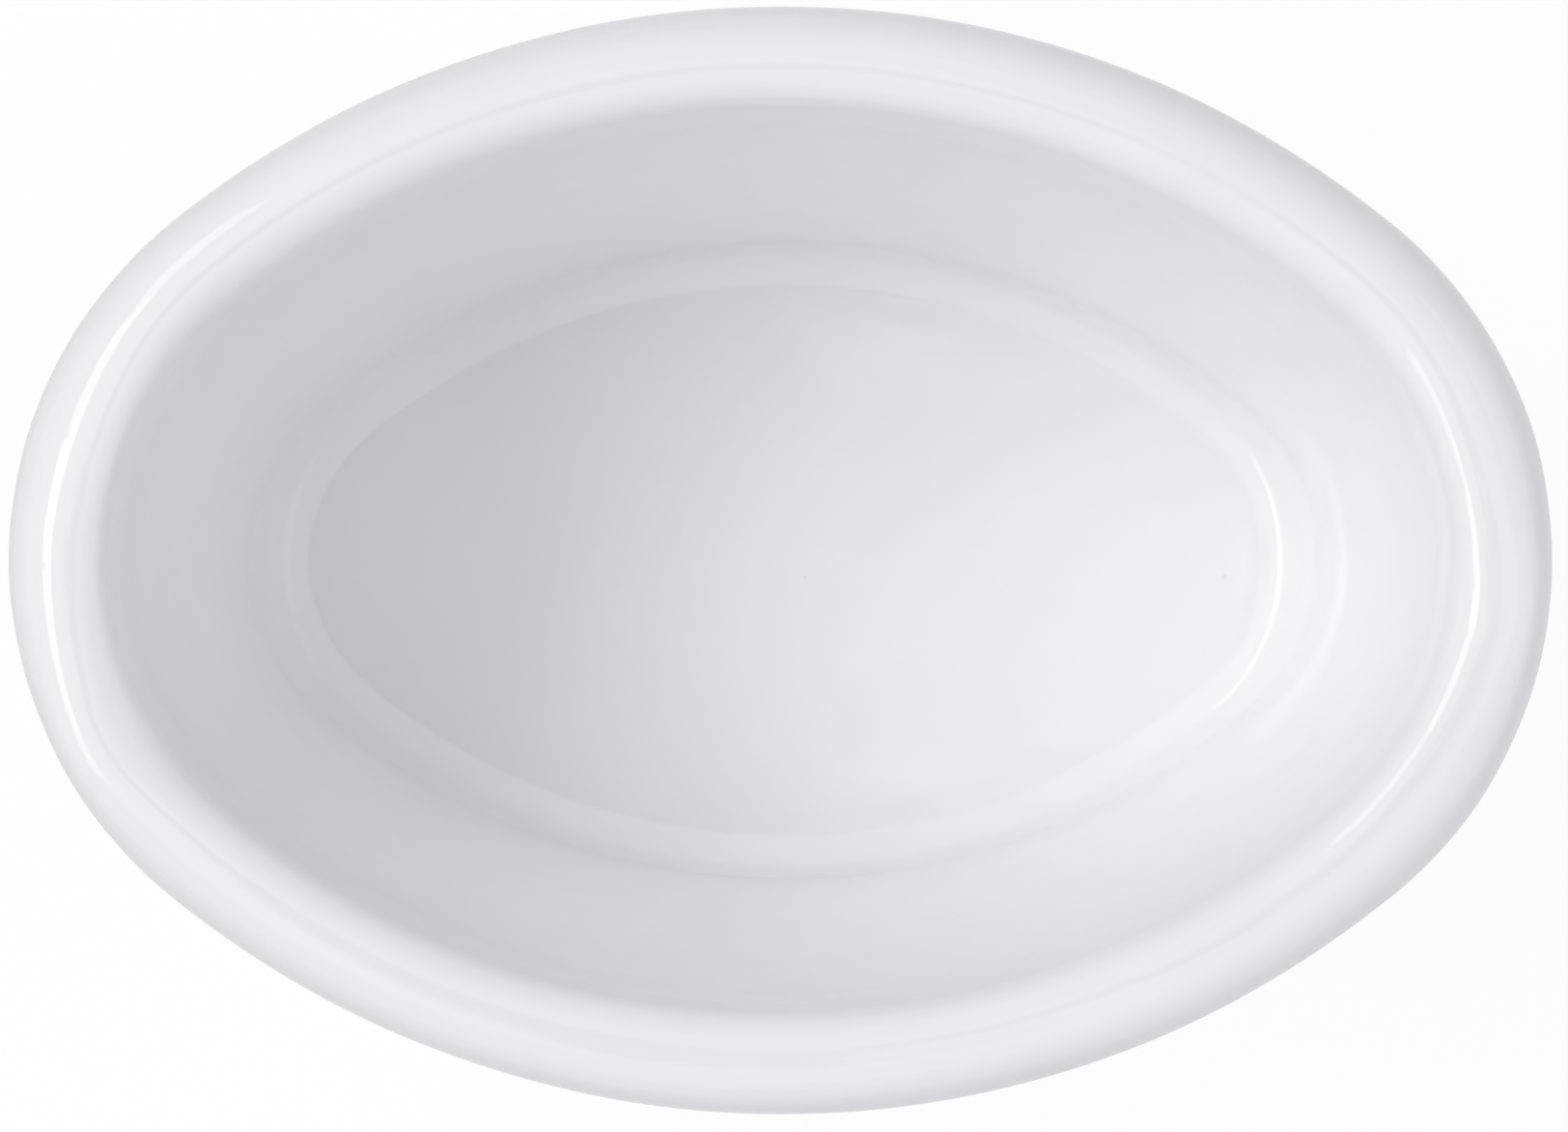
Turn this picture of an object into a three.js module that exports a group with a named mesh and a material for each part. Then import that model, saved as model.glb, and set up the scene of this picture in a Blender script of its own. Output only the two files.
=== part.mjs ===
import * as THREE from 'three';

// An oval ramekin in glazed stoneware: a fired clay body with a thick rolled rim, a coat of white glaze over
// the inside, the rim and the outside, and a patch of the same glaze in the well under its foot ring.
// Millimetres, +Z up. The long axis lies along X, and the foot ring stands on Z = 0.

// Outline of the rim, seen from above
const LENGTH = 114;
const WIDTH = 81.8;
const END_RADIUS = 31.9; // of the two rounded ends

// Heights
const HEIGHT = 51; // table to the crest of the rim
const DEPTH = 44.5; // crest of the rim to the inside floor

// Rolled rim and wall
const RIM_OUTER_RADIUS = 4.5; // outer half of the roll
const RIM_INNER_RADIUS = 3.4; // inner half, which turns more tightly
const RIM_HOLLOW = 2.5; // fillet under the roll, where it meets the outside of the wall
const WALL = 4.6; // square to the wall, glaze included

// Inside floor
const FLOOR_INSET = 19.9; // from the rim's outline in to the edge of the floor
const COVE_RADIUS = 4.5; // rounding between floor and wall

// Heel and foot ring
const HEEL_RADIUS = 5; // outside corner between wall and underside
const FOOT_STEP = 1.6; // from the end of the heel in to the foot ring
const FOOT_HEIGHT = 2.2;
const FOOT_WIDTH = 3.2;
const FOOT_ROOT = 0.9; // fillet where the ring meets the underside
const FOOT_EDGE = 0.5; // rounding of the ring's two lower edges
const WELL_DEPTH = 2.4; // table to the underside within the ring

const GLAZE = 0.4; // thickness of the glaze

// How finely round stretches are divided
const END_STEPS = 12;
const SIDE_STEPS = 16;
const COVE_STEPS = 6;
const RIM_INNER_STEPS = 5;
const RIM_OUTER_STEPS = 4;
const RIM_UNDER_STEPS = 3;
const RIM_HOLLOW_STEPS = 3;
const HEEL_STEPS = 5;
const FOOT_STEPS = 2;

const { cos, sin, PI } = Math;
const HALF_TURN = PI;
const QUARTER_TURN = PI / 2;

// The rim's outline is a four-arc oval: two end arcs and two side arcs that meet without a corner.
const HALF_LENGTH = LENGTH / 2;
const HALF_WIDTH = WIDTH / 2;
const END_CENTRE = HALF_LENGTH - END_RADIUS;
const SIDE_RADIUS =
  (END_CENTRE ** 2 + HALF_WIDTH ** 2 - END_RADIUS ** 2) / (2 * (HALF_WIDTH - END_RADIUS));
const SIDE_CENTRE = SIDE_RADIUS - HALF_WIDTH;
const JOIN = Math.atan2(SIDE_CENTRE, END_CENTRE); // direction in which end and side arcs meet

// Stations round the outline. Each has the arc it lies on and the direction in which the outline faces there.
function arcStations(x, y, radius, from, to, steps) {
  return Array.from({ length: steps }, (_, i) => ({
    centre: new THREE.Vector2(x, y),
    radius,
    facing: THREE.MathUtils.lerp(from, to, i / steps),
  }));
}
const stations = [
  ...arcStations(END_CENTRE, 0, END_RADIUS, -JOIN, JOIN, END_STEPS),
  ...arcStations(0, -SIDE_CENTRE, SIDE_RADIUS, JOIN, HALF_TURN - JOIN, SIDE_STEPS),
  ...arcStations(-END_CENTRE, 0, END_RADIUS, HALF_TURN - JOIN, HALF_TURN + JOIN, END_STEPS),
  ...arcStations(0, SIDE_CENTRE, SIDE_RADIUS, HALF_TURN + JOIN, 2 * HALF_TURN - JOIN, SIDE_STEPS),
];

// A point of the ramekin's cross-section has its inset from the rim's outline, its height z, and the lean of
// the surface there: 0 faces up, a quarter turn faces outwards, a half turn faces down.
// An arc of the section turns from one lean to another. A hollow arc has a minus radius.
function arc(inset, z, radius, from, to, steps) {
  return Array.from({ length: steps + 1 }, (_, i) => {
    const lean = THREE.MathUtils.lerp(from, to, i / steps);
    return { inset: inset - radius * sin(lean), z: z + radius * cos(lean), lean };
  });
}

// The surface of the clay lies one glaze thickness behind the surface of the glaze.
function behindGlaze({ inset, z, lean }) {
  return { inset: inset + GLAZE * sin(lean), z: z - GLAZE * cos(lean), lean };
}

// The cross-section, which is the same all round: from the edge of the inside floor over the rim and down to
// the foot ring, round the foot ring, and from there to the edge of the flat well under the base.
function section() {
  const coveInset = FLOOR_INSET;
  const coveHeight = HEIGHT - DEPTH + COVE_RADIUS;

  // The wall is the straight line that touches both the rim's inner half and the cove.
  const rimInset = RIM_OUTER_RADIUS;
  const rimInnerHeight = HEIGHT - RIM_INNER_RADIUS;
  const across = coveInset - rimInset;
  const up = coveHeight - rimInnerHeight;
  const turn = Math.acos((RIM_INNER_RADIUS + COVE_RADIUS) / Math.hypot(across, up));
  const tilt = Math.atan2(across, up) - turn;
  const outer = HALF_TURN - tilt; // lean of the outside of the wall
  const outerFace = rimInset * sin(tilt) + rimInnerHeight * cos(tilt) + RIM_INNER_RADIUS - WALL;

  // The hollow under the rim touches the rim's outer half and the outside of the wall.
  const rimOuterHeight = HEIGHT - RIM_OUTER_RADIUS;
  const reach = RIM_OUTER_RADIUS + RIM_HOLLOW;
  const square = outerFace - RIM_HOLLOW - rimInset * sin(tilt) - rimOuterHeight * cos(tilt);
  const along = Math.sqrt(reach ** 2 - square ** 2);
  const hollowInset = rimInset + square * sin(tilt) + along * cos(tilt);
  const hollowHeight = rimOuterHeight + square * cos(tilt) - along * sin(tilt);
  const rimEnd = HALF_TURN - Math.atan2(rimInset - hollowInset, rimOuterHeight - hollowHeight);

  const heelHeight = FOOT_HEIGHT + HEEL_RADIUS;
  const heelInset = (outerFace + HEEL_RADIUS - heelHeight * cos(tilt)) / sin(tilt);
  const footOuter = heelInset + FOOT_STEP;
  const footInner = footOuter + FOOT_WIDTH;
  const rootOuter = footOuter - GLAZE - FOOT_ROOT;
  const rootInner = footInner + GLAZE + FOOT_ROOT;

  return {
    coat: [
      ...arc(coveInset, coveHeight, -COVE_RADIUS, 0, -tilt, COVE_STEPS),
      ...arc(rimInset, rimInnerHeight, RIM_INNER_RADIUS, -tilt, 0, RIM_INNER_STEPS),
      ...arc(rimInset, rimOuterHeight, RIM_OUTER_RADIUS, 0, QUARTER_TURN, RIM_OUTER_STEPS).slice(1),
      ...arc(rimInset, rimOuterHeight, RIM_OUTER_RADIUS, QUARTER_TURN, rimEnd, RIM_UNDER_STEPS).slice(1),
      ...arc(hollowInset, hollowHeight, -RIM_HOLLOW, rimEnd, outer, RIM_HOLLOW_STEPS).slice(1),
      ...arc(heelInset, heelHeight, HEEL_RADIUS, outer, HALF_TURN, HEEL_STEPS),
      ...arc(rootOuter, FOOT_HEIGHT - FOOT_ROOT, -FOOT_ROOT, HALF_TURN, QUARTER_TURN, FOOT_STEPS),
    ],
    foot: [
      ...arc(footOuter + FOOT_EDGE, FOOT_EDGE, FOOT_EDGE, QUARTER_TURN, HALF_TURN, FOOT_STEPS),
      ...arc(footInner - FOOT_EDGE, FOOT_EDGE, FOOT_EDGE, HALF_TURN, 3 * QUARTER_TURN, FOOT_STEPS),
    ],
    well: arc(rootInner, WELL_DEPTH - FOOT_ROOT, -FOOT_ROOT, 3 * QUARTER_TURN, HALF_TURN, FOOT_STEPS),
  };
}
const { coat, foot, well } = section();

// A stretch of the section as rings of points round the ramekin.
function rings(stretch) {
  return stretch.map(({ inset, z }) =>
    stations.map(({ centre, radius, facing }) => {
      const x = centre.x + (radius - inset) * cos(facing);
      const y = centre.y + (radius - inset) * sin(facing);
      return new THREE.Vector3(x, y, z);
    }),
  );
}

// Triangles between each ring and the next.
function band(loops, faceOut = true) {
  const triangles = [];
  loops.slice(1).forEach((upper, k) => {
    const lower = loops[k];
    lower.forEach((point, i) => {
      const next = (i + 1) % lower.length;
      triangles.push([point, upper[i], upper[next]], [point, upper[next], lower[next]]);
    });
  });
  return faceOut ? triangles : triangles.map(([a, b, c]) => [a, c, b]);
}

// A flat face inside one ring.
function disc(loop, faceUp = true) {
  const middle = new THREE.Vector3(0, 0, loop[0].z);
  return loop.map((point, i) => {
    const next = loop[(i + 1) % loop.length];
    return faceUp ? [middle, point, next] : [middle, next, point];
  });
}

function solid(name, triangles, material) {
  const geometry = new THREE.BufferGeometry().setFromPoints(triangles.flat());
  geometry.computeVertexNormals();
  const mesh = new THREE.Mesh(geometry, material);
  mesh.name = name;
  return mesh;
}

const firedClay = new THREE.MeshStandardMaterial({ color: 0xe6dcc8, roughness: 0.9, metalness: 0 });
const whiteGlaze = new THREE.MeshStandardMaterial({ color: 0xf1f1f4, roughness: 0.08, metalness: 0 });
const wellGlaze = new THREE.MeshStandardMaterial({ color: 0xeeeef0, roughness: 0.12, metalness: 0 });

const coatFace = rings(coat);
const coatBack = rings(coat.map(behindGlaze));
const wellFace = rings(well);
const wellBack = rings(well.map(behindGlaze));

const ramekin = new THREE.Group();
ramekin.name = 'oval_ramekin';

const clayRings = [...coatBack, ...rings(foot), ...wellBack];
ramekin.add(
  solid(
    'stoneware_body',
    [...disc(coatBack[0]), ...band(clayRings), ...disc(wellBack.at(-1), false)],
    firedClay,
  ),
);

const coatEdge = [coatFace.at(-1), coatBack.at(-1)];
ramekin.add(
  solid(
    'glaze_coat',
    [
      ...disc(coatFace[0]),
      ...band(coatFace),
      ...band(coatEdge),
      ...band(coatBack, false),
      ...disc(coatBack[0], false),
    ],
    whiteGlaze,
  ),
);

const wellEdge = [wellBack[0], wellFace[0]];
ramekin.add(
  solid(
    'foot_well_glaze',
    [
      ...disc(wellFace.at(-1), false),
      ...band(wellFace),
      ...band(wellEdge),
      ...band(wellBack, false),
      ...disc(wellBack.at(-1)),
    ],
    wellGlaze,
  ),
);

export default ramekin;
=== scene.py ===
# %% [markdown]
# # An oval ramekin in white glazed stoneware
# A ramekin is a small deep dish for baking and serving one portion. This one is pressed from clay, fired, dipped in
# white glaze and fired again, so it is one rigid piece with a glassy skin. It is bare only on its foot ring, which is
# wiped clean so that it doesn't stick to the kiln shelf.
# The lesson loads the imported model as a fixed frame, sets up a view, a floor and lamps, builds each body of material
# as a fine mesh, and then paints the finishes with shader nodes.

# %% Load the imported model
import math

import bmesh
import bpy
import numpy as np
from mathutils import Matrix, Vector


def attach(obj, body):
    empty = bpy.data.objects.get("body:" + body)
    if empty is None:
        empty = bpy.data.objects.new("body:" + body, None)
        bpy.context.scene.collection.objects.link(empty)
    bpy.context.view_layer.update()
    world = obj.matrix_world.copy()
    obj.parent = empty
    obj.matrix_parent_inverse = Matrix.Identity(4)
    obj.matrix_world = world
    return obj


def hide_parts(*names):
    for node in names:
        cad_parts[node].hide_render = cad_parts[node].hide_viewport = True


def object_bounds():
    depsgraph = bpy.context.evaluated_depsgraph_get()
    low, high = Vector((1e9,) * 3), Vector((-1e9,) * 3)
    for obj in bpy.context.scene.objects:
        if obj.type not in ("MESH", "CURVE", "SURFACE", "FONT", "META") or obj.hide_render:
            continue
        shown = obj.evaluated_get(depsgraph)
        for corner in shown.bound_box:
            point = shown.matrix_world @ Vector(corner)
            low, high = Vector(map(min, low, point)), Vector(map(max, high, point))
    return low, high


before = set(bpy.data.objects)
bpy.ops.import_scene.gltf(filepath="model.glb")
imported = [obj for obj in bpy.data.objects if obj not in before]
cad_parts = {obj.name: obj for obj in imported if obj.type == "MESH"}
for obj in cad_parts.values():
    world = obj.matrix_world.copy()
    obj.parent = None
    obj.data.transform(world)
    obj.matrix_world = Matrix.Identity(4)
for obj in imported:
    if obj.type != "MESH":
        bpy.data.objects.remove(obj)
cad_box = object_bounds()
MM = 0.001
print("CAD box in mm:", [[round(v / MM, 2) for v in corner] for corner in cad_box])

# %% [markdown]
# ## The view
# The dish is seen from straight above, so its rim makes a plain oval and its inside shows down to the floor.
# A long lens far away keeps the walls from spreading. The camera's turn is written as a matrix, because the usual way
# of aiming a camera needs an upright that isn't in line with the view, and here the view runs straight down.

# %% Camera
scene = bpy.context.scene
RIM_LEVEL = 46.5 * MM  # the widest line of the rolled rim
EYE = Vector((6.5 * MM, -1.1 * MM, 816 * MM))
TARGET = Vector((0.27 * MM, -0.47 * MM, RIM_LEVEL))

view = (TARGET - EYE).normalized()
right = view.cross(Vector((0, 1, 0))).normalized()
camera_turn = Matrix((right, right.cross(view), -view)).transposed()

lens = bpy.data.cameras.new("overhead_camera")
lens.sensor_fit = "HORIZONTAL"
lens.sensor_width = 36  # millimetres, as on a full-size camera
lens.lens = 239
lens.clip_start = 0.01
camera = bpy.data.objects.new("overhead_camera", lens)
camera.matrix_world = Matrix.Translation(EYE) @ camera_turn.to_4x4()
scene.collection.objects.link(camera)
scene.camera = camera
print("camera height over the rim in mm:", round((EYE.z - RIM_LEVEL) / MM, 1))

# %% [markdown]
# ## Small helpers for nodes
# A material is a net of nodes, and each node takes a few lines to make. The first helper makes one node, sets its
# options and fills its inputs: a socket is linked, and a plain value is written into the input. The others are short
# names for what is used most: arithmetic, a sum of two amounts, a change of range, and a blend of two colours.

# %% Node helpers
def node(tree, kind, inputs=None, **options):
    made = tree.nodes.new(kind)
    for name, value in options.items():
        setattr(made, name, value)
    for name, value in (inputs or {}).items():
        if isinstance(value, bpy.types.NodeSocket):
            tree.links.new(value, made.inputs[name])
        else:
            made.inputs[name].default_value = value
    return made


def maths(tree, operation, first, second=0.0):
    return node(tree, "ShaderNodeMath", {0: first, 1: second}, operation=operation).outputs[0]


def amounts(tree, first, much_of_first, second, much_of_second):
    """So much of the first value plus so much of the second."""
    share_of_first = maths(tree, "MULTIPLY", first, much_of_first)
    return maths(tree, "ADD", share_of_first, maths(tree, "MULTIPLY", second, much_of_second))


def in_range(tree, value, start, end, low=0.0, high=1.0):
    """low where the value is start, high where it is end, and even steps between them."""
    inputs = {"Value": value, "From Min": start, "From Max": end, "To Min": low, "To Max": high}
    return node(tree, "ShaderNodeMapRange", inputs).outputs[0]


def blend(tree, share, first, second):
    """The first colour where share is 0 and the second where it is 1."""
    return node(tree, "ShaderNodeMix", {0: share, 6: first, 7: second}, data_type="RGBA").outputs[2]


def new_material(name):
    material = bpy.data.materials.new(name)
    material.use_nodes = True
    material.node_tree.nodes.clear()
    return material, material.node_tree


# %% [markdown]
# ## The floor
# A plain white floor. To the camera it is mostly a white glow, which gives the pale background without more light on
# the dish. In a reflection about a third of it glows. The rest is a plain matt white that keeps the shadow, and that is
# also what sends light back up under the rim. In a studio a grey cloth would lie at the left, on the side of the lamps,
# to keep the rim's edge from getting lost against the white. Here that part of the floor is greyer for all but the
# camera.

# %% Helpers for the stage
def seen_directly(tree):
    """1 for camera, mirror and glass rays, and 0 for the light that surfaces send to each other."""
    path = node(tree, "ShaderNodeLightPath").outputs
    either = maths(tree, "MAXIMUM", path["Is Camera Ray"], path["Is Glossy Ray"])
    return maths(tree, "MAXIMUM", either, path["Is Transmission Ray"])


def flat_sheet(name, corners, faces, material):
    sheet = bpy.data.meshes.new(name)
    sheet.from_pydata(corners, [], faces)
    sheet.materials.append(material)
    piece = bpy.data.objects.new(name, sheet)
    scene.collection.objects.link(piece)
    return piece


# %% Floor
WHITE = (1, 1, 1, 1)
FLOOR_WHITE, CLOTH_GREY = (0.9, 0.9, 0.9, 1), (0.55, 0.55, 0.55, 1)
GLOW_SHARE, MIRRORED_SHARE = 0.93, 0.35  # how much of the floor glows, to the camera and in a reflection
CLOTH_EDGE = -0.05, -0.10  # along X, in metres
FLOOR_HALF = 3.0  # half of a side, in metres
FLOOR_Z = -0.05 * MM  # a hair below the foot, so that two faces don't lie in one plane

floor_paint, tree = new_material("white_floor")
to_camera = node(tree, "ShaderNodeLightPath").outputs["Is Camera Ray"]
floor_place = node(tree, "ShaderNodeTexCoord").outputs["Object"]
across_floor = node(tree, "ShaderNodeSeparateXYZ", {0: floor_place}).outputs["X"]
hidden = maths(tree, "SUBTRACT", 1.0, to_camera)
on_cloth = maths(tree, "MULTIPLY", in_range(tree, across_floor, *CLOTH_EDGE), hidden)
matt = node(tree, "ShaderNodeBsdfDiffuse", {"Color": blend(tree, on_cloth, FLOOR_WHITE, CLOTH_GREY)})
glow = node(tree, "ShaderNodeEmission", {"Color": WHITE, "Strength": 1.0})
mirrored = maths(tree, "MULTIPLY", seen_directly(tree), MIRRORED_SHARE)
share = maths(tree, "MAXIMUM", mirrored, maths(tree, "MULTIPLY", to_camera, GLOW_SHARE))
both = node(tree, "ShaderNodeMixShader", {0: share, 1: matt.outputs[0], 2: glow.outputs[0]})
node(tree, "ShaderNodeOutputMaterial", {"Surface": both.outputs[0]})

floor_corners = [(x * FLOOR_HALF, y * FLOOR_HALF, FLOOR_Z) for x, y in ((-1, -1), (1, -1), (1, 1), (-1, 1))]
flat_sheet("floor", floor_corners, [(0, 1, 2, 3)], floor_paint)
print("floor:", 2 * FLOOR_HALF, "m square")

# %% [markdown]
# ## The light
# A glossy white dish is drawn by what it mirrors. One long soft lamp stands at the left, about halfway up the sky: it
# makes the bright lines along the rim and round the floor, and the left wall throws its shadow over the floor. The lamp
# is bent round the dish, so it is made of five lengths, and it is brightest in the middle. A wide weak lamp there, a
# little further towards the top of the picture, is the light that spreads on the studio wall; it is kept out of
# reflections, so that the bright lines stay crisp. A pale panel at the right sends light back into the shadow.

# %% Lamps
LAMP_COLOUR = (1, 0.995, 0.975)


def area_lamp(name, tilt, turn, distance, angles, radiance):
    """A soft lamp aimed at the rim. tilt is from straight up, turn goes round from +X, and angles says how wide and
    how high the lamp looks from the dish, all in degrees."""
    tilt, turn = math.radians(tilt), math.radians(turn)
    towards = Vector((math.sin(tilt) * math.cos(turn), math.sin(tilt) * math.sin(turn), math.cos(tilt)))
    light = bpy.data.lights.new(name, "AREA")
    light.shape = "RECTANGLE"
    light.size, light.size_y = (2 * distance * math.tan(math.radians(angle / 2)) for angle in angles)
    light.energy = radiance * math.pi * light.size * light.size_y
    light.color = LAMP_COLOUR
    lamp = bpy.data.objects.new(name, light)
    lamp.location = Vector((0, 0, RIM_LEVEL)) + distance * towards
    lamp.rotation_euler = towards.to_track_quat("Z", "Y").to_euler()
    scene.collection.objects.link(lamp)
    print(name, "stands at", [round(v, 3) for v in lamp.location], "with", round(light.energy, 2), "W")
    return lamp


STRIP_TILT, STRIP_TURN, STRIP_STEP = 44, 171, 17.5
STRIP_DISTANCE, STRIP_ANGLES, STRIP_RADIANCES = 2.5, (12.2, 15.5), (2.0, 2.8, 3.8, 2.8, 2.0)
HALO_TURN, HALO_ANGLES, HALO_RADIANCE = STRIP_TURN - 12, (62, 34), 1.2
FILL_TILT, FILL_DISTANCE, FILL_ANGLES, FILL_RADIANCE = 58, 0.7, (60, 33), 0.48

for k, radiance in enumerate(STRIP_RADIANCES):
    lamp_turn = STRIP_TURN + (k - len(STRIP_RADIANCES) // 2) * STRIP_STEP
    area_lamp(f"strip_lamp_{k + 1}", STRIP_TILT, lamp_turn, STRIP_DISTANCE, STRIP_ANGLES, radiance)
halo = area_lamp("strip_halo", STRIP_TILT, HALO_TURN, STRIP_DISTANCE, HALO_ANGLES, HALO_RADIANCE)
halo.visible_glossy = False
area_lamp("fill_panel", FILL_TILT, 0, FILL_DISTANCE, FILL_ANGLES, FILL_RADIANCE)

# %% [markdown]
# ## The sky
# The sky fills what the lamps leave dark. It is a little blue against the lamps, so the shaded side of the dish is
# cooler than the lit side. It is brightest overhead. To the camera and in reflections it is plain white.
# A ray that skims along the hollow wall is mirrored many times before it gets out. Blender gives up after four mirror
# bounces and leaves the spot black, so the limit is raised here.

# %% Sky
SKY_SLOPE, SKY_BASE = (0.1, -0.14, 0.51), 0.225  # change of brightness along X, Y and Z, and brightness at the horizon
SKY_COLOUR = (0.955, 0.95, 1.0, 1)
MIRROR_BOUNCES, ALL_BOUNCES = 16, 24

sky = bpy.data.worlds.new("white_sky")
sky.use_nodes = True
scene.world = sky
tree = sky.node_tree
tree.nodes.clear()
direction = node(tree, "ShaderNodeTexCoord").outputs["Generated"]
towards = node(tree, "ShaderNodeVectorMath", {0: direction, 1: SKY_SLOPE}, operation="DOT_PRODUCT")
level = maths(tree, "ADD", towards.outputs["Value"], SKY_BASE)
fill = node(tree, "ShaderNodeBackground", {"Color": SKY_COLOUR, "Strength": level})
white = node(tree, "ShaderNodeBackground", {"Color": WHITE, "Strength": 1.0})
mixed = node(tree, "ShaderNodeMixShader", {0: seen_directly(tree), 1: fill.outputs[0], 2: white.outputs[0]})
node(tree, "ShaderNodeOutputWorld", {"Surface": mixed.outputs[0]})
scene.view_settings.view_transform = "Standard"
scene.cycles.glossy_bounces = MIRROR_BOUNCES
scene.cycles.max_bounces = ALL_BOUNCES
print("sky: about", SKY_BASE, "at the horizon and", round(SKY_BASE + SKY_SLOPE[2], 3), "overhead")

# %% [markdown]
# ## The camera's own reflection
# The camera is a dark thing over the dish, and the glossy floor of the dish mirrors it. A modelled camera would be much
# work for a soft dark patch, so two dark sheets in the shape of a camera on a boom stand in for it. They show only in
# reflections.

# %% Dark card
CARD_BLACK = (0.02, 0.02, 0.02, 1)
BOOM = (-0.26, -0.03), (0.10, 0.03)  # low and high corner, seen from above, in metres
CAMERA_BODY = (-0.10, -0.10), (0.0, 0.10)
CARD_LIFT, CARD_STEP = 0.014, 0.002  # over the lens, and from one sheet to the other, in metres

card_paint, tree = new_material("camera_black")
black = node(tree, "ShaderNodeBsdfDiffuse", {"Color": CARD_BLACK})
node(tree, "ShaderNodeOutputMaterial", {"Surface": black.outputs[0]})
card_corners = []
for k, ((x0, y0), (x1, y1)) in enumerate((BOOM, CAMERA_BODY)):
    card_z = EYE.z + CARD_LIFT + CARD_STEP * k
    card_corners += [(x0, y0, card_z), (x1, y0, card_z), (x1, y1, card_z), (x0, y1, card_z)]
card = flat_sheet("camera_card", card_corners, [(0, 1, 2, 3), (4, 5, 6, 7)], card_paint)
card.visible_camera = False
card.visible_diffuse = False
card.visible_shadow = False
print("dark card:", len(card.data.polygons), "sheets")

# %% [markdown]
# ## The outline
# Ovals like this are drawn with a compass: two small arcs round the ends and two large arcs along the sides, which
# meet without a corner. A line drawn at an even distance inside such an oval is again four arcs, with the same centres.
# That makes it easy to follow the wall all the way round, so this is chosen over a stretched circle.
# The length, width and height come from the frame.

# %% Four-arc oval
low, high = cad_box
LENGTH, WIDTH, HEIGHT = (h - l for l, h in zip(low, high))
END_RADIUS = 31.9 * MM
END_STEPS, SIDE_STEPS = 48, 64

end_centre = LENGTH / 2 - END_RADIUS
side_radius = (end_centre**2 + WIDTH**2 / 4 - END_RADIUS**2) / (WIDTH - 2 * END_RADIUS)
side_centre = side_radius - WIDTH / 2
join = math.atan2(side_centre, end_centre)


def round_arc(x, y, radius, start, end, steps):
    """Stations on one arc: its centre, its radius and the way the outline faces at each station."""
    facing = np.linspace(start, end, steps, endpoint=False)
    same = np.ones(steps)
    return np.column_stack((x * same, y * same, radius * same, facing))


stations = np.concatenate((
    round_arc(end_centre, 0, END_RADIUS, -join, join, END_STEPS),
    round_arc(0, -side_centre, side_radius, join, math.pi - join, SIDE_STEPS),
    round_arc(-end_centre, 0, END_RADIUS, math.pi - join, math.pi + join, END_STEPS),
    round_arc(0, side_centre, side_radius, math.pi + join, 2 * math.pi - join, SIDE_STEPS),
))
facing = stations[:, 3]
print("stations round the oval:", len(stations), "side radius in mm:", round(side_radius / MM, 1))

# %% [markdown]
# ## The inside of the cross-section
# Cut the dish anywhere and the wall looks nearly the same, so its shape is drawn once as a line and carried round.
# Each point of the line keeps its inset from the rim's outline, its height and its lean, which is the way the surface
# faces: 0 is up, a quarter turn is outwards and a half turn is down. Inner faces lean by minus angles.
# The floor is flat, and at the two ends it dips a little towards its edge, where the press left a crisp line. Then
# comes a bevel, a tight turn and a wider cove, three arcs that touch each other. That is what makes the bright line
# round the floor so thin. Along the sides of the oval the bevel is wider, and the turn and the cove are tighter.

# %% Floor and cove
DEPTH = 44.5 * MM
FLOOR_INSETS = 20.1 * MM, 19.7 * MM  # pairs like this one are at the ends and at the sides
GUTTER_LEANS = math.radians(1.6), math.radians(-0.6)
BEVELS, BEVEL_END = (7 * MM, 13 * MM), math.radians(14)
TURNS, TURN_END = (2.7 * MM, 1.4 * MM), math.radians(34)
COVES = 6 * MM, 1.8 * MM
GUTTER_WIDTH, GUTTER_BEND, GUTTER_DROP = 1.9 * MM, 0.4 * MM, 0.05 * MM
BEND_DIPS = 0.05, 0.2  # shares of the dip in the middle and at the end of the bend
FLOOR_EDGE, FLOOR_LIP = math.radians(4), 0.05 * MM
BEVEL_STEPS, TURN_STEPS = 8, 10  # how finely an arc is divided


def ends_to_sides(at_ends, at_sides):
    """A size that changes round the oval, from its two ends to its two sides."""
    return at_ends + (at_sides - at_ends) * np.sin(facing) ** 2


def arc(inset, z, radius, start, end, steps):
    """An arc of the section at every station. A hollow arc has a minus radius."""
    share = np.linspace(0, 1, steps + 1)[:, None]
    lean = start * (1 - share) + end * share + 0 * facing
    return np.stack((inset - radius * np.sin(lean), z + radius * np.cos(lean), lean), axis=-1)


floor_inset, cove_radius = ends_to_sides(*FLOOR_INSETS), ends_to_sides(*COVES)
gutter_lean = ends_to_sides(*GUTTER_LEANS)
drop = GUTTER_WIDTH * np.tan(gutter_lean)
floor_level = HEIGHT - DEPTH + GUTTER_DROP
edge_level = floor_level - drop


def floor_row(inward, dip, lean):
    """A ring of the floor, so far in from its edge. dip is 0 on the flat and 1 at the edge."""
    return np.stack((floor_inset + inward, floor_level - dip * drop, lean), axis=-1)


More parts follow.
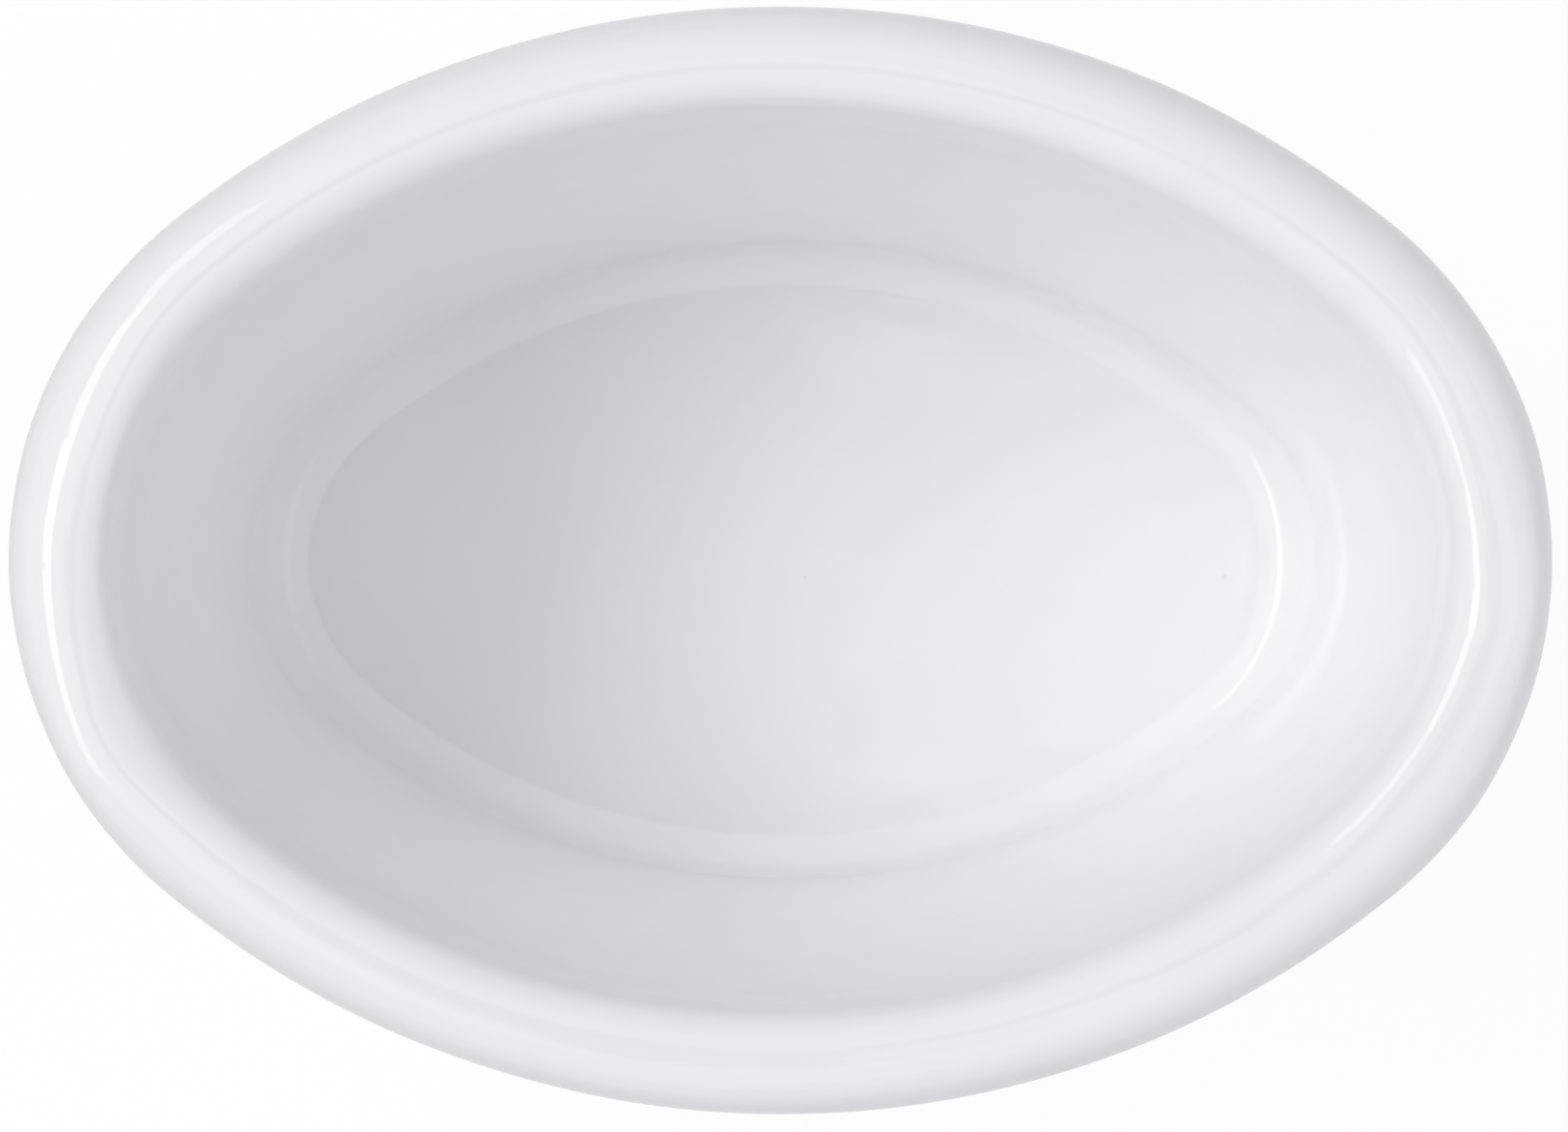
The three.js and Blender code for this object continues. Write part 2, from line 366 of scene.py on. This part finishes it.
floor_rows = [np.stack((
    floor_row(GUTTER_WIDTH + GUTTER_BEND, 0, 0 * facing),
    floor_row(GUTTER_WIDTH, BEND_DIPS[0], gutter_lean / 2),
    floor_row(GUTTER_WIDTH - GUTTER_BEND, BEND_DIPS[1], gutter_lean),
    floor_row(FLOOR_LIP, 1, gutter_lean),
))]
cove_inset, cove_z, last_radius, cove_lean = floor_inset, edge_level, 0, FLOOR_EDGE
for radii, next_lean, steps in ((BEVELS, BEVEL_END, BEVEL_STEPS), (TURNS, TURN_END, TURN_STEPS)):
    radius = ends_to_sides(*radii)
    cove_inset = cove_inset + (radius - last_radius) * math.sin(cove_lean)
    cove_z = cove_z + (radius - last_radius) * math.cos(cove_lean)
    floor_rows.append(arc(cove_inset, cove_z, -radius, -cove_lean, -next_lean, steps)[:-1])
    last_radius, cove_lean = radius, next_lean
cove_inset = cove_inset + (cove_radius - last_radius) * math.sin(cove_lean)
cove_z = cove_z + (cove_radius - last_radius) * math.cos(cove_lean)
floor_sizes = LENGTH - 2 * FLOOR_INSETS[0], WIDTH - 2 * FLOOR_INSETS[1]
print("floor in mm:", [round(size / MM, 1) for size in floor_sizes])

# %% [markdown]
# ## Wall and rim
# The inner half of the rolled rim ends in a long soft neck. The inside of the wall is the straight line that touches
# both this neck and the cove. The outside runs parallel to it, one wall thickness away, and meets the roll in a small
# hollow. Working with lines that touch arcs keeps the surface smooth, and a glossy surface shows every kink.
# Rims are rounded off by hand, and not quite evenly: on the right and the lower side the upper half of the roll is
# fuller. There it turns on a smaller arc, and the crest beside it is flat for a millimetre.

# %% Sizes of the rim
RIM_OUTER, RIM_INNER, RIM_HOLLOW = 4.5 * MM, 3.4 * MM, 2.5 * MM
NECK, NECK_LEAN = 18 * MM, math.radians(67)
WALL = 4.6 * MM
QUARTER = math.pi / 2
ROLLS = 4.4 * MM, 3.3 * MM  # upper half of the roll: elsewhere, and on the full side
FULL_SIDE, FULL_AT = math.radians(-50), 0.75  # the middle of that side, and the cosine from it at which it is full

fullness = np.clip(np.cos(facing - FULL_SIDE) / FULL_AT, 0, 1)
roll = ROLLS[0] + (ROLLS[1] - ROLLS[0]) * fullness**2 * (3 - 2 * fullness)
print("upper half of the roll in mm:", np.round((roll.min() / MM, roll.max() / MM), 2))

# %% Inside and outside of the wall
rim_inner_z, rim_outer_z = HEIGHT - RIM_INNER, HEIGHT - RIM_OUTER
neck_inset = RIM_OUTER - (NECK - RIM_INNER) * math.sin(NECK_LEAN)
neck_z = rim_inner_z - (NECK - RIM_INNER) * math.cos(NECK_LEAN)
across, up = cove_inset - neck_inset, cove_z - neck_z
tilt = np.arctan2(across, up) - np.arccos((NECK + cove_radius) / np.hypot(across, up))
outer = math.pi - tilt
outer_face = neck_inset * np.sin(tilt) + neck_z * np.cos(tilt) + NECK - WALL

reach = RIM_OUTER + RIM_HOLLOW
square = outer_face - RIM_HOLLOW - RIM_OUTER * np.sin(tilt) - rim_outer_z * np.cos(tilt)
along = np.sqrt(reach**2 - square**2)
hollow_inset = RIM_OUTER + square * np.sin(tilt) + along * np.cos(tilt)
hollow_z = rim_outer_z + square * np.cos(tilt) - along * np.sin(tilt)
rim_end = math.pi - np.arctan2(RIM_OUTER - hollow_inset, rim_outer_z - hollow_z)
print("wall leans out by", np.round(90 - np.degrees((tilt.min(), tilt.max())), 2), "degrees")


# %% Points of the wall and rim
COVE_STEPS, WALL_STEPS, NECK_STEPS = 12, 14, 6
RIM_IN_STEPS, RIM_TOP_STEPS, RIM_UNDER_STEPS, HOLLOW_STEPS = 14, 16, 12, 8


def straight(start, end, steps):
    """Points between two points of the section, without the two. They lie closer together near both ends, so that
    the shading runs on evenly from the arcs there."""
    share = 0.5 - 0.5 * np.cos(np.linspace(0, math.pi, steps + 1))[1:-1, None, None]
    return start * (1 - share) + end * share


cove = arc(cove_inset, cove_z, -cove_radius, -cove_lean, -tilt, COVE_STEPS)
neck = arc(neck_inset, neck_z, NECK, -tilt, -NECK_LEAN, NECK_STEPS)
rim_in = arc(RIM_OUTER, rim_inner_z, RIM_INNER, -NECK_LEAN, 0, RIM_IN_STEPS)
rim_top = arc(roll, HEIGHT - roll, roll, 0, QUARTER, RIM_TOP_STEPS)
rim_under = arc(RIM_OUTER, rim_outer_z, RIM_OUTER, QUARTER, rim_end, RIM_UNDER_STEPS)
hollow = arc(hollow_inset, hollow_z, -RIM_HOLLOW, rim_end, outer, HOLLOW_STEPS)
inside_rows = floor_rows + [cove, straight(cove[-1], neck[0], WALL_STEPS), neck[:-1]]
CREST_ROW = sum(len(rows) for rows in inside_rows) + len(rim_in) - 1
print("points from the floor up to the crest:", CREST_ROW + 1)

# %% [markdown]
# ## Heel and foot
# A rounded heel leads from the wall to the underside, and a low ring of bare clay carries the dish. The glaze stops a
# little above the surface that the dish stands on. A square step there would be simpler, but glaze draws itself round
# at its edge before it sets, so it ends in a rounded bead. The line was wiped by hand with a sponge, so it runs up and
# down by a tenth of a millimetre or two.

# %% Heel, foot ring and glaze line
HEEL = 5 * MM
FOOT_STEP, FOOT_HEIGHT, FOOT_WIDTH = 1.6 * MM, 2.2 * MM, 3.2 * MM
FOOT_ROOT, FOOT_EDGE, WELL_DEPTH = 0.9 * MM, 0.5 * MM, 2.4 * MM
GLAZE = 0.4 * MM
WIPE_DROP = 0.16 * MM
WIPE_WAVES = (0.07 * MM, 5, 0.4), (0.05 * MM, 11, 2.1)  # size, count round the dish, start
HEEL_STEPS, FOOT_STEPS = 16, 6

heel_z = FOOT_HEIGHT + HEEL
heel_inset = (outer_face + HEEL - heel_z * np.cos(tilt)) / np.sin(tilt)
foot_outer = heel_inset + FOOT_STEP
foot_inner = foot_outer + FOOT_WIDTH
root_outer, root_inner = foot_outer - GLAZE - FOOT_ROOT, foot_inner + GLAZE + FOOT_ROOT
wiped_line = WIPE_DROP + sum(size * np.sin(count * facing + begin) for size, count, begin in WIPE_WAVES)

heel = arc(heel_inset, heel_z, HEEL, outer, math.pi, HEEL_STEPS)
root = arc(root_outer, FOOT_HEIGHT - FOOT_ROOT, -FOOT_ROOT, math.pi, QUARTER, FOOT_STEPS)
coat_section = np.concatenate(inside_rows + [
    rim_in, rim_top, rim_under, hollow[1:], straight(hollow[-1], heel[0], WALL_STEPS), heel, root,
])
bead = GLAZE / 2
coat_bead = arc(foot_outer - bead, FOOT_HEIGHT - FOOT_ROOT - wiped_line, bead, QUARTER, 3 * QUARTER, FOOT_STEPS)
foot_section = np.concatenate((
    arc(foot_outer + FOOT_EDGE, FOOT_EDGE, FOOT_EDGE, QUARTER, 2 * QUARTER, FOOT_STEPS),
    arc(foot_inner - FOOT_EDGE, FOOT_EDGE, FOOT_EDGE, 2 * QUARTER, 3 * QUARTER, FOOT_STEPS),
))
well_section = arc(root_inner, WELL_DEPTH - FOOT_ROOT, -FOOT_ROOT, 3 * QUARTER, 2 * QUARTER, FOOT_STEPS)
well_bead = arc(foot_inner + bead, WELL_DEPTH - FOOT_ROOT - wiped_line, bead, QUARTER, 3 * QUARTER, FOOT_STEPS)
print("points in the section of the coat:", len(coat_section))

# %% [markdown]
# ## From section to rings
# The section is carried round the oval, and each of its points draws one ring. The clay lies one glaze thickness
# behind the glaze. Pressed clay moves as it dries and fires: the upper part of the wall stands in and out by a few
# hundredths of a millimetre in long waves, and the crest of the rim drifts sideways here and there. The lines of light
# on the rim then run as unevenly as they do on real ware. The waves fade out below, so the foot stays flat.

# %% Rings
WAVE = 0.03 * MM
KILN_WAVES = (1, 3, 0.7, 90), (0.7, 7, 1.9, -60), (0.45, 13, 4.0, 0), (0.3, 22, 2.2, 120)  # size, count, start, twist
WAVES_FROM, WAVES_FULL = 12 * MM, 32 * MM  # heights
CREST_DRIFT = (161, 20, -0.6), (209, 12, 0.85), (352, 8, 0.4), (324, 14, -0.4), (17, 13, -0.35)


def behind_glaze(section):
    inset, z, lean = np.moveaxis(section, -1, 0)
    return np.stack((inset + GLAZE * np.sin(lean), z - GLAZE * np.cos(lean), lean), axis=-1)


def kiln_waves(z):
    """How far the fired wall stands out from its true place."""
    waves = (size * np.sin(count * facing + begin + twist * z) for size, count, begin, twist in KILN_WAVES)
    return WAVE * sum(waves)


def crest_drift():
    """How far the crest lies out from its true place. Each row of CREST_DRIFT is where and how wide, both in degrees
    round the dish, and how far in millimetres."""
    drift = 0 * facing
    for where, width, size in CREST_DRIFT:
        turned = (np.degrees(facing) - where + 180) % 360 - 180
        drift += size * MM * np.exp(-((turned / width) ** 2))
    return drift


def rings(section):
    """Points in rows: one row for each point of the section, one column for each station."""
    inset, z, lean = np.moveaxis(section, -1, 0)
    x, y, radius = stations[:, :3].T
    rise = np.clip((z - WAVES_FROM) / (WAVES_FULL - WAVES_FROM), 0, 1)
    push = rise * kiln_waves(z)
    reach_out = radius - inset + push * np.sin(lean) + rise * crest_drift() * np.cos(lean) ** 2
    height = z + push * np.cos(lean)
    return np.stack((x + reach_out * np.cos(facing), y + reach_out * np.sin(facing), height), axis=-1)


coat_face, coat_back = rings(coat_section), rings(behind_glaze(coat_section))
well_face, well_back = rings(well_section), rings(behind_glaze(well_section))
print("crest drifts by up to", round(np.abs(crest_drift()).max() / MM, 2), "mm")

# %% [markdown]
# ## From rings to meshes
# Neighbouring rings are joined by four-sided faces. A flat end, such as the floor, is closed by smaller and smaller
# copies of its ring down to one middle point, so that no long slivers are left. Each mesh is one closed skin, and its
# volume is printed as a test: it is above zero only when all faces look outwards.
# Every point also keeps how far it lies from a chosen ring, measured along the section. The finishes need that to
# follow the rim round.

# %% Mesh builder
def closing_rings(ring, count=9):
    """Copies of a flat ring that shrink to the middle, in order from the ring inwards, and the middle."""
    middle = np.array((0, 0, ring[:, 2].mean()))
    return [middle + (ring - middle) * share for share in np.linspace(1, 0, count + 1)[1:-1]], middle


def closed_mesh(name, loops, zero_row):
    """A closed mesh from rings in order. Both ends are flat and are closed with a middle point. The distance that
    each point keeps is measured from the ring with the number zero_row."""
    first, first_middle = closing_rings(loops[0])
    last, last_middle = closing_rings(loops[-1])
    rows = np.array(first[::-1] + list(loops) + last)
    steps = np.linalg.norm(np.diff(rows, axis=0), axis=2)
    travel = np.vstack((0 * facing, np.cumsum(steps, axis=0)))
    travel -= travel[len(first) + zero_row]

    count = len(facing)
    here = np.arange(count)
    ahead = (here + 1) % count
    faces = []
    for a in range(0, (len(rows) - 1) * count, count):
        faces += np.column_stack((a + here, a + count + here, a + count + ahead, a + ahead)).tolist()
    end = len(rows) * count
    faces += np.column_stack((np.full(count, end), here, ahead)).tolist()
    faces += np.column_stack((np.full(count, end + 1), end - count + ahead, end - count + here)).tolist()

    mesh = bpy.data.meshes.new(name)
    mesh.from_pydata(np.vstack((rows.reshape(-1, 3), first_middle, last_middle)).tolist(), [], faces)
    mesh.validate()
    mesh.shade_smooth()
    from_ring = mesh.attributes.new("from_ring", "FLOAT", "POINT")
    ends = travel[0].mean(), travel[-1].mean()
    from_ring.data.foreach_set("value", np.append(travel.ravel(), ends) / MM)
    return mesh


# %% Placing a piece
ML = 1e-6  # a millilitre in cubic metres


def place(name, mesh, node_name):
    """Puts a piece into the scene in the place of a CAD node."""
    piece = bpy.data.objects.new(name, mesh)
    scene.collection.objects.link(piece)
    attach(piece, "root")
    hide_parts(node_name)
    solid = bmesh.new()
    solid.from_mesh(mesh)
    volume = solid.calc_volume(signed=True) / ML
    solid.free()
    print(name, "has", len(mesh.polygons), "faces and a volume of", round(volume, 2), "ml")
    return piece


# %% [markdown]
# ## The clay body
# The clay is what the dish is made of, and it shows only at the foot ring. A solid block behind the glaze would do for
# the eye, but this is a reusable part, so the clay gets its true skin: the back of the glaze, the bare foot ring, and
# the back of the glaze in the well under the base.

# %% Clay body
clay_rings = np.concatenate((coat_back, rings(foot_section), well_back))
clay = place("clay_body", closed_mesh("clay_body", clay_rings, CREST_ROW), "stoneware_body")

# %% [markdown]
# ## The glaze coat
# The coat is a thin shell of glass over the inside, the rim and the outside. A modifier could thicken a single sheet,
# but it would leave a square edge. Here the face, the rounded bead above the foot and the back are one row of rings.

# %% Glaze coat
coat_rings = np.concatenate((coat_face, rings(coat_bead), coat_back[::-1]))
coat = place("glaze_skin", closed_mesh("glaze_skin", coat_rings, CREST_ROW), "glaze_coat")

# %% [markdown]
# ## The glaze under the base
# The well inside the foot ring is glazed too, apart from the coat, because the ring between them was wiped clean. It
# is built in the same way. Its distances start at its edge, where the glaze pools.

# %% Glaze in the foot well
well_rings = np.concatenate((well_back[::-1], rings(well_bead), well_face))
well_edge = len(well_back) + len(well_bead)
well = place("foot_well_skin", closed_mesh("foot_well_skin", well_rings, well_edge), "foot_well_glaze")

# %% [markdown]
# ## Effects that the finishes share
# Glaze and clay have three things in common: soft clouds, where one spot is a shade lighter or higher than the next;
# fine lines that run round the dish, left by the tool and the sponge; and small specks from grains of iron in the
# clay. A picture could be wrapped round the dish, but it would need a flat pattern of the mesh and would show seams, so
# the effects are worked out from each point's own place. Each is a node group, built once and placed in every material
# with its own sizes. All sizes are in millimetres.

# %% Group helper
def new_group(name, inputs, output):
    """A shader node group with number inputs and one number output."""
    group = bpy.data.node_groups.new(name, "ShaderNodeTree")
    for socket, value in inputs.items():
        group.interface.new_socket(socket, in_out="INPUT", socket_type="NodeSocketFloat").default_value = value
    group.interface.new_socket(output, in_out="OUTPUT", socket_type="NodeSocketFloat")
    return group, node(group, "NodeGroupInput").outputs


def use(tree, group, **sizes):
    """Places a group in a material and gives its output."""
    inputs = {name.capitalize(): value for name, value in sizes.items()}
    return node(tree, "ShaderNodeGroup", inputs, node_tree=group).outputs[0]


def place_in_mm(tree):
    """The place of each surface point in millimetres."""
    in_metres = node(tree, "ShaderNodeTexCoord").outputs["Object"]
    return node(tree, "ShaderNodeVectorMath", {0: in_metres, "Scale": 1 / MM}, operation="SCALE").outputs[0]


def place_in_steps(tree, step):
    """The same place, counted in steps of so many millimetres."""
    finer = maths(tree, "DIVIDE", 1.0, step)
    return node(tree, "ShaderNodeVectorMath", {0: place_in_mm(tree), "Scale": finer}, operation="SCALE").outputs[0]


# %% Soft clouds
NOISE_RANGE = 0.3, 0.7  # nearly all values of a noise texture lie in it
soft_clouds, given = new_group("soft_clouds", {"Size": 10.0}, "Level")
cloud_place = place_in_steps(soft_clouds, given["Size"])
noise = node(soft_clouds, "ShaderNodeTexNoise", {"Vector": cloud_place, "Scale": 1.0, "Detail": 2.0})
node(soft_clouds, "NodeGroupOutput", {"Level": in_range(soft_clouds, noise.outputs[0], *NOISE_RANGE)})
print("group:", soft_clouds.name)

# %% Lines round the dish
# The noise is stretched: it changes quickly along the section and slowly from place to place round the dish.
SLOW = 1 / 38  # a line keeps on for about 38 mm
tool_lines, given = new_group("tool_lines", {"Spacing": 0.6}, "Level")
from_ring = node(tool_lines, "ShaderNodeAttribute", attribute_name="from_ring").outputs["Fac"]
dish_place = node(tool_lines, "ShaderNodeSeparateXYZ", {0: place_in_mm(tool_lines)}).outputs
stretched = node(tool_lines, "ShaderNodeCombineXYZ", {
    "X": maths(tool_lines, "DIVIDE", from_ring, given["Spacing"]),
    "Y": maths(tool_lines, "MULTIPLY", dish_place["X"], SLOW),
    "Z": maths(tool_lines, "MULTIPLY", dish_place["Y"], SLOW),
})
noise = node(tool_lines, "ShaderNodeTexNoise", {"Vector": stretched.outputs[0], "Scale": 1.0, "Detail": 1.0})
node(tool_lines, "NodeGroupOutput", {"Level": in_range(tool_lines, noise.outputs[0], *NOISE_RANGE)})
print("group:", tool_lines.name)

# %% Specks
# The surface is cut into cells with one point each. A few cells, picked by their random colour, get a speck there.
SPECK_SIZES, SPECK_FADE = (0.5, 1.0), (1.0, 0.6)  # smallest and largest, and from rim to core, as shares of the size
iron_specks, given = new_group("iron_specks", {"Cell": 8.0, "Size": 0.2, "Share": 0.3}, "Mask")
speck_place = place_in_steps(iron_specks, given["Cell"])
cells = node(iron_specks, "ShaderNodeTexVoronoi", {"Vector": speck_place, "Scale": 1.0}).outputs
chance = node(iron_specks, "ShaderNodeSeparateColor", {0: cells["Color"]}).outputs
picked = maths(iron_specks, "LESS_THAN", chance["Red"], given["Share"])
speck_size = in_range(iron_specks, chance["Green"], 0.0, 1.0, *SPECK_SIZES)
speck_radius = maths(iron_specks, "MULTIPLY", given["Size"], speck_size)
away = maths(iron_specks, "MULTIPLY", cells["Distance"], given["Cell"])
core = in_range(iron_specks, maths(iron_specks, "DIVIDE", away, speck_radius), *SPECK_FADE)
node(iron_specks, "NodeGroupOutput", {"Mask": maths(iron_specks, "MULTIPLY", picked, core)})
print("group:", iron_specks.name)

# %% [markdown]
# ## White glaze
# Glaze is a layer of glass full of tiny white grains. It is nearly even, but not quite: it flows into soft clouds, and
# over the rim it shows the tool lines of the clay beneath. Both change its shade by about one part in a hundred and
# its height by a few hundredths of a millimetre, so they show only as faint streaks and as a slight waver in the
# mirrored lamps. A few dark specks have come up through it. Four of them are listed one by one, where they catch the
# eye.

# %% Relief and end of a material
def relief(tree, height):
    """The normal of a surface with this height, in millimetres."""
    return node(tree, "ShaderNodeBump", {"Strength": 1.0, "Distance": MM, "Height": height}).outputs[0]


def paint(piece, material, shader):
    """Ends a material with its shader and gives it to a piece."""
    node(material.node_tree, "ShaderNodeOutputMaterial", {"Surface": shader.outputs[0]})
    piece.data.materials.append(material)
    print(material.name, "has", len(material.node_tree.nodes), "nodes")


# %% Shade of the white glaze
RIM_FADE, FAINT = (8.0, 4.0), 0.08  # streaks fade between these distances from the crest, in mm, to this share
CLOUD_TONE, STREAK_TONE, LOWEST_TONE = 0.6, 0.7, 0.2
GLAZE_SHADES = (0.904, 0.901, 0.912, 1), (0.926, 0.923, 0.934, 1)

white_glaze, tree = new_material("white_glaze")
clouds = use(tree, soft_clouds, size=11)
lines = use(tree, tool_lines, spacing=0.6)
from_ring = node(tree, "ShaderNodeAttribute", attribute_name="from_ring").outputs["Fac"]
on_rim = in_range(tree, maths(tree, "ABSOLUTE", from_ring), *RIM_FADE, FAINT, 1.0)
streaks = maths(tree, "MULTIPLY", maths(tree, "SUBTRACT", lines, 0.5), on_rim)
tone = amounts(tree, clouds, CLOUD_TONE, streaks, STREAK_TONE)
body = blend(tree, maths(tree, "ADD", tone, LOWEST_TONE), *GLAZE_SHADES)
print("shade of the glaze:", len(tree.nodes), "nodes so far")

# %% Specks, relief and gloss of the white glaze
SPECKS = (  # place and radius, in mm
    ((34.2, -1.3, 6.5), 0.26), ((43.0, -13.9, 16.0), 0.15),
    ((-16.2, 38.7, 48.9), 0.2), ((-56.7, 3.5, 45.0), 0.25),
)
SPECK_CORE, GLAZE_SPECK = 0.3, (0.80, 0.785, 0.775, 1)
CLOUD_HEIGHT, STREAK_HEIGHT = 0.02, 0.003  # mm
GLAZE_ROUGHNESS, GLASS_IOR = (0.045, 0.07), 1.5

mask = use(tree, iron_specks, cell=6, size=0.17, share=0.35)
glaze_place = place_in_mm(tree)
for where, radius in SPECKS:
    away = node(tree, "ShaderNodeVectorMath", {0: glaze_place, 1: where}, operation="DISTANCE").outputs["Value"]
    mask = maths(tree, "MAXIMUM", mask, in_range(tree, away, radius, SPECK_CORE * radius))
height = amounts(tree, clouds, CLOUD_HEIGHT, streaks, STREAK_HEIGHT)
shader = node(tree, "ShaderNodeBsdfPrincipled", {
    "Base Color": blend(tree, mask, body, GLAZE_SPECK),
    "Roughness": in_range(tree, use(tree, soft_clouds, size=4), 0.0, 1.0, *GLAZE_ROUGHNESS),
    "IOR": GLASS_IOR,
    "Normal": relief(tree, height),
})
paint(coat, white_glaze, shader)

# %% [markdown]
# ## Glaze in the foot well
# Under the base the glaze lies thinner and less even. It pools in the corner by the foot ring, where it looks a little
# greyer, and it carries more specks, because nobody sees this side. The same groups serve with other sizes.

# %% Foot well glaze
POOL = 3.2, 1.0  # the pool begins and is full at these distances from the edge, in mm
WELL_SHADES, POOL_SHADE = ((0.862, 0.86, 0.872, 1), (0.898, 0.896, 0.906, 1)), (0.80, 0.815, 0.825, 1)
WELL_SPECK = (0.4, 0.35, 0.3, 1)
WELL_CLOUD_HEIGHT, WELL_LINE_HEIGHT = 0.05, 0.02  # mm
WELL_ROUGHNESS = 0.06, 0.13

well_glaze, tree = new_material("well_glaze")
clouds = use(tree, soft_clouds, size=7)
lines = use(tree, tool_lines, spacing=1.3)
from_edge = node(tree, "ShaderNodeAttribute", attribute_name="from_ring").outputs["Fac"]
body = blend(tree, in_range(tree, from_edge, *POOL), blend(tree, clouds, *WELL_SHADES), POOL_SHADE)
mask = use(tree, iron_specks, cell=3, size=0.2, share=0.25)
height = amounts(tree, clouds, WELL_CLOUD_HEIGHT, lines, WELL_LINE_HEIGHT)
shader = node(tree, "ShaderNodeBsdfPrincipled", {
    "Base Color": blend(tree, mask, body, WELL_SPECK),
    "Roughness": in_range(tree, clouds, 0.0, 1.0, *WELL_ROUGHNESS),
    "IOR": GLASS_IOR,
    "Normal": relief(tree, height),
})
paint(well, well_glaze, shader)

# %% [markdown]
# ## Bare clay
# The foot ring is the one place where the clay shows. Fired stoneware is matt and cream-coloured, with a fine grain and
# many iron specks. The sponge left lines round the ring, and the face that the dish stands on is rubbed smoother and
# greyer by tables and oven shelves. That face is found by its height.

# %% Fired clay
CREAM_SHADES, CLAY_DUST = ((0.74, 0.655, 0.525, 1), (0.83, 0.755, 0.63, 1)), (0.88, 0.82, 0.71, 1)
CLAY_SPECK, RUBBED_GREY = (0.30, 0.20, 0.13, 1), (0.55, 0.51, 0.46, 1)
DUST_SHARE, RUBBED_SHARE = 0.35, 0.6
TABLE_HEIGHTS, RUBBED_PATCHES = (0.25, 0.05), (0.35, 0.75)  # in mm, and the part of the clouds that is rubbed
GRAIN_HEIGHT, LINE_HEIGHT = 0.03, 0.025  # mm
CLAY_ROUGHNESS = 0.92, 0.68  # as fired, and where it is rubbed

fired_clay, tree = new_material("fired_clay")
grain = use(tree, soft_clouds, size=0.45)
lines = use(tree, tool_lines, spacing=0.8)
cream = blend(tree, use(tree, soft_clouds, size=13), *CREAM_SHADES)
dusty = blend(tree, maths(tree, "MULTIPLY", grain, DUST_SHARE), cream, CLAY_DUST)
speckled = blend(tree, use(tree, iron_specks, cell=1.2, size=0.17, share=0.35), dusty, CLAY_SPECK)
above_table = node(tree, "ShaderNodeSeparateXYZ", {0: place_in_mm(tree)}).outputs["Z"]
patches = in_range(tree, use(tree, soft_clouds, size=3), *RUBBED_PATCHES)
rubbed = maths(tree, "MULTIPLY", in_range(tree, above_table, *TABLE_HEIGHTS), patches)
shader = node(tree, "ShaderNodeBsdfPrincipled", {
    "Base Color": blend(tree, maths(tree, "MULTIPLY", rubbed, RUBBED_SHARE), speckled, RUBBED_GREY),
    "Roughness": in_range(tree, rubbed, 0.0, 1.0, *CLAY_ROUGHNESS),
    "Normal": relief(tree, amounts(tree, grain, GRAIN_HEIGHT, lines, LINE_HEIGHT)),
})
paint(clay, fired_clay, shader)
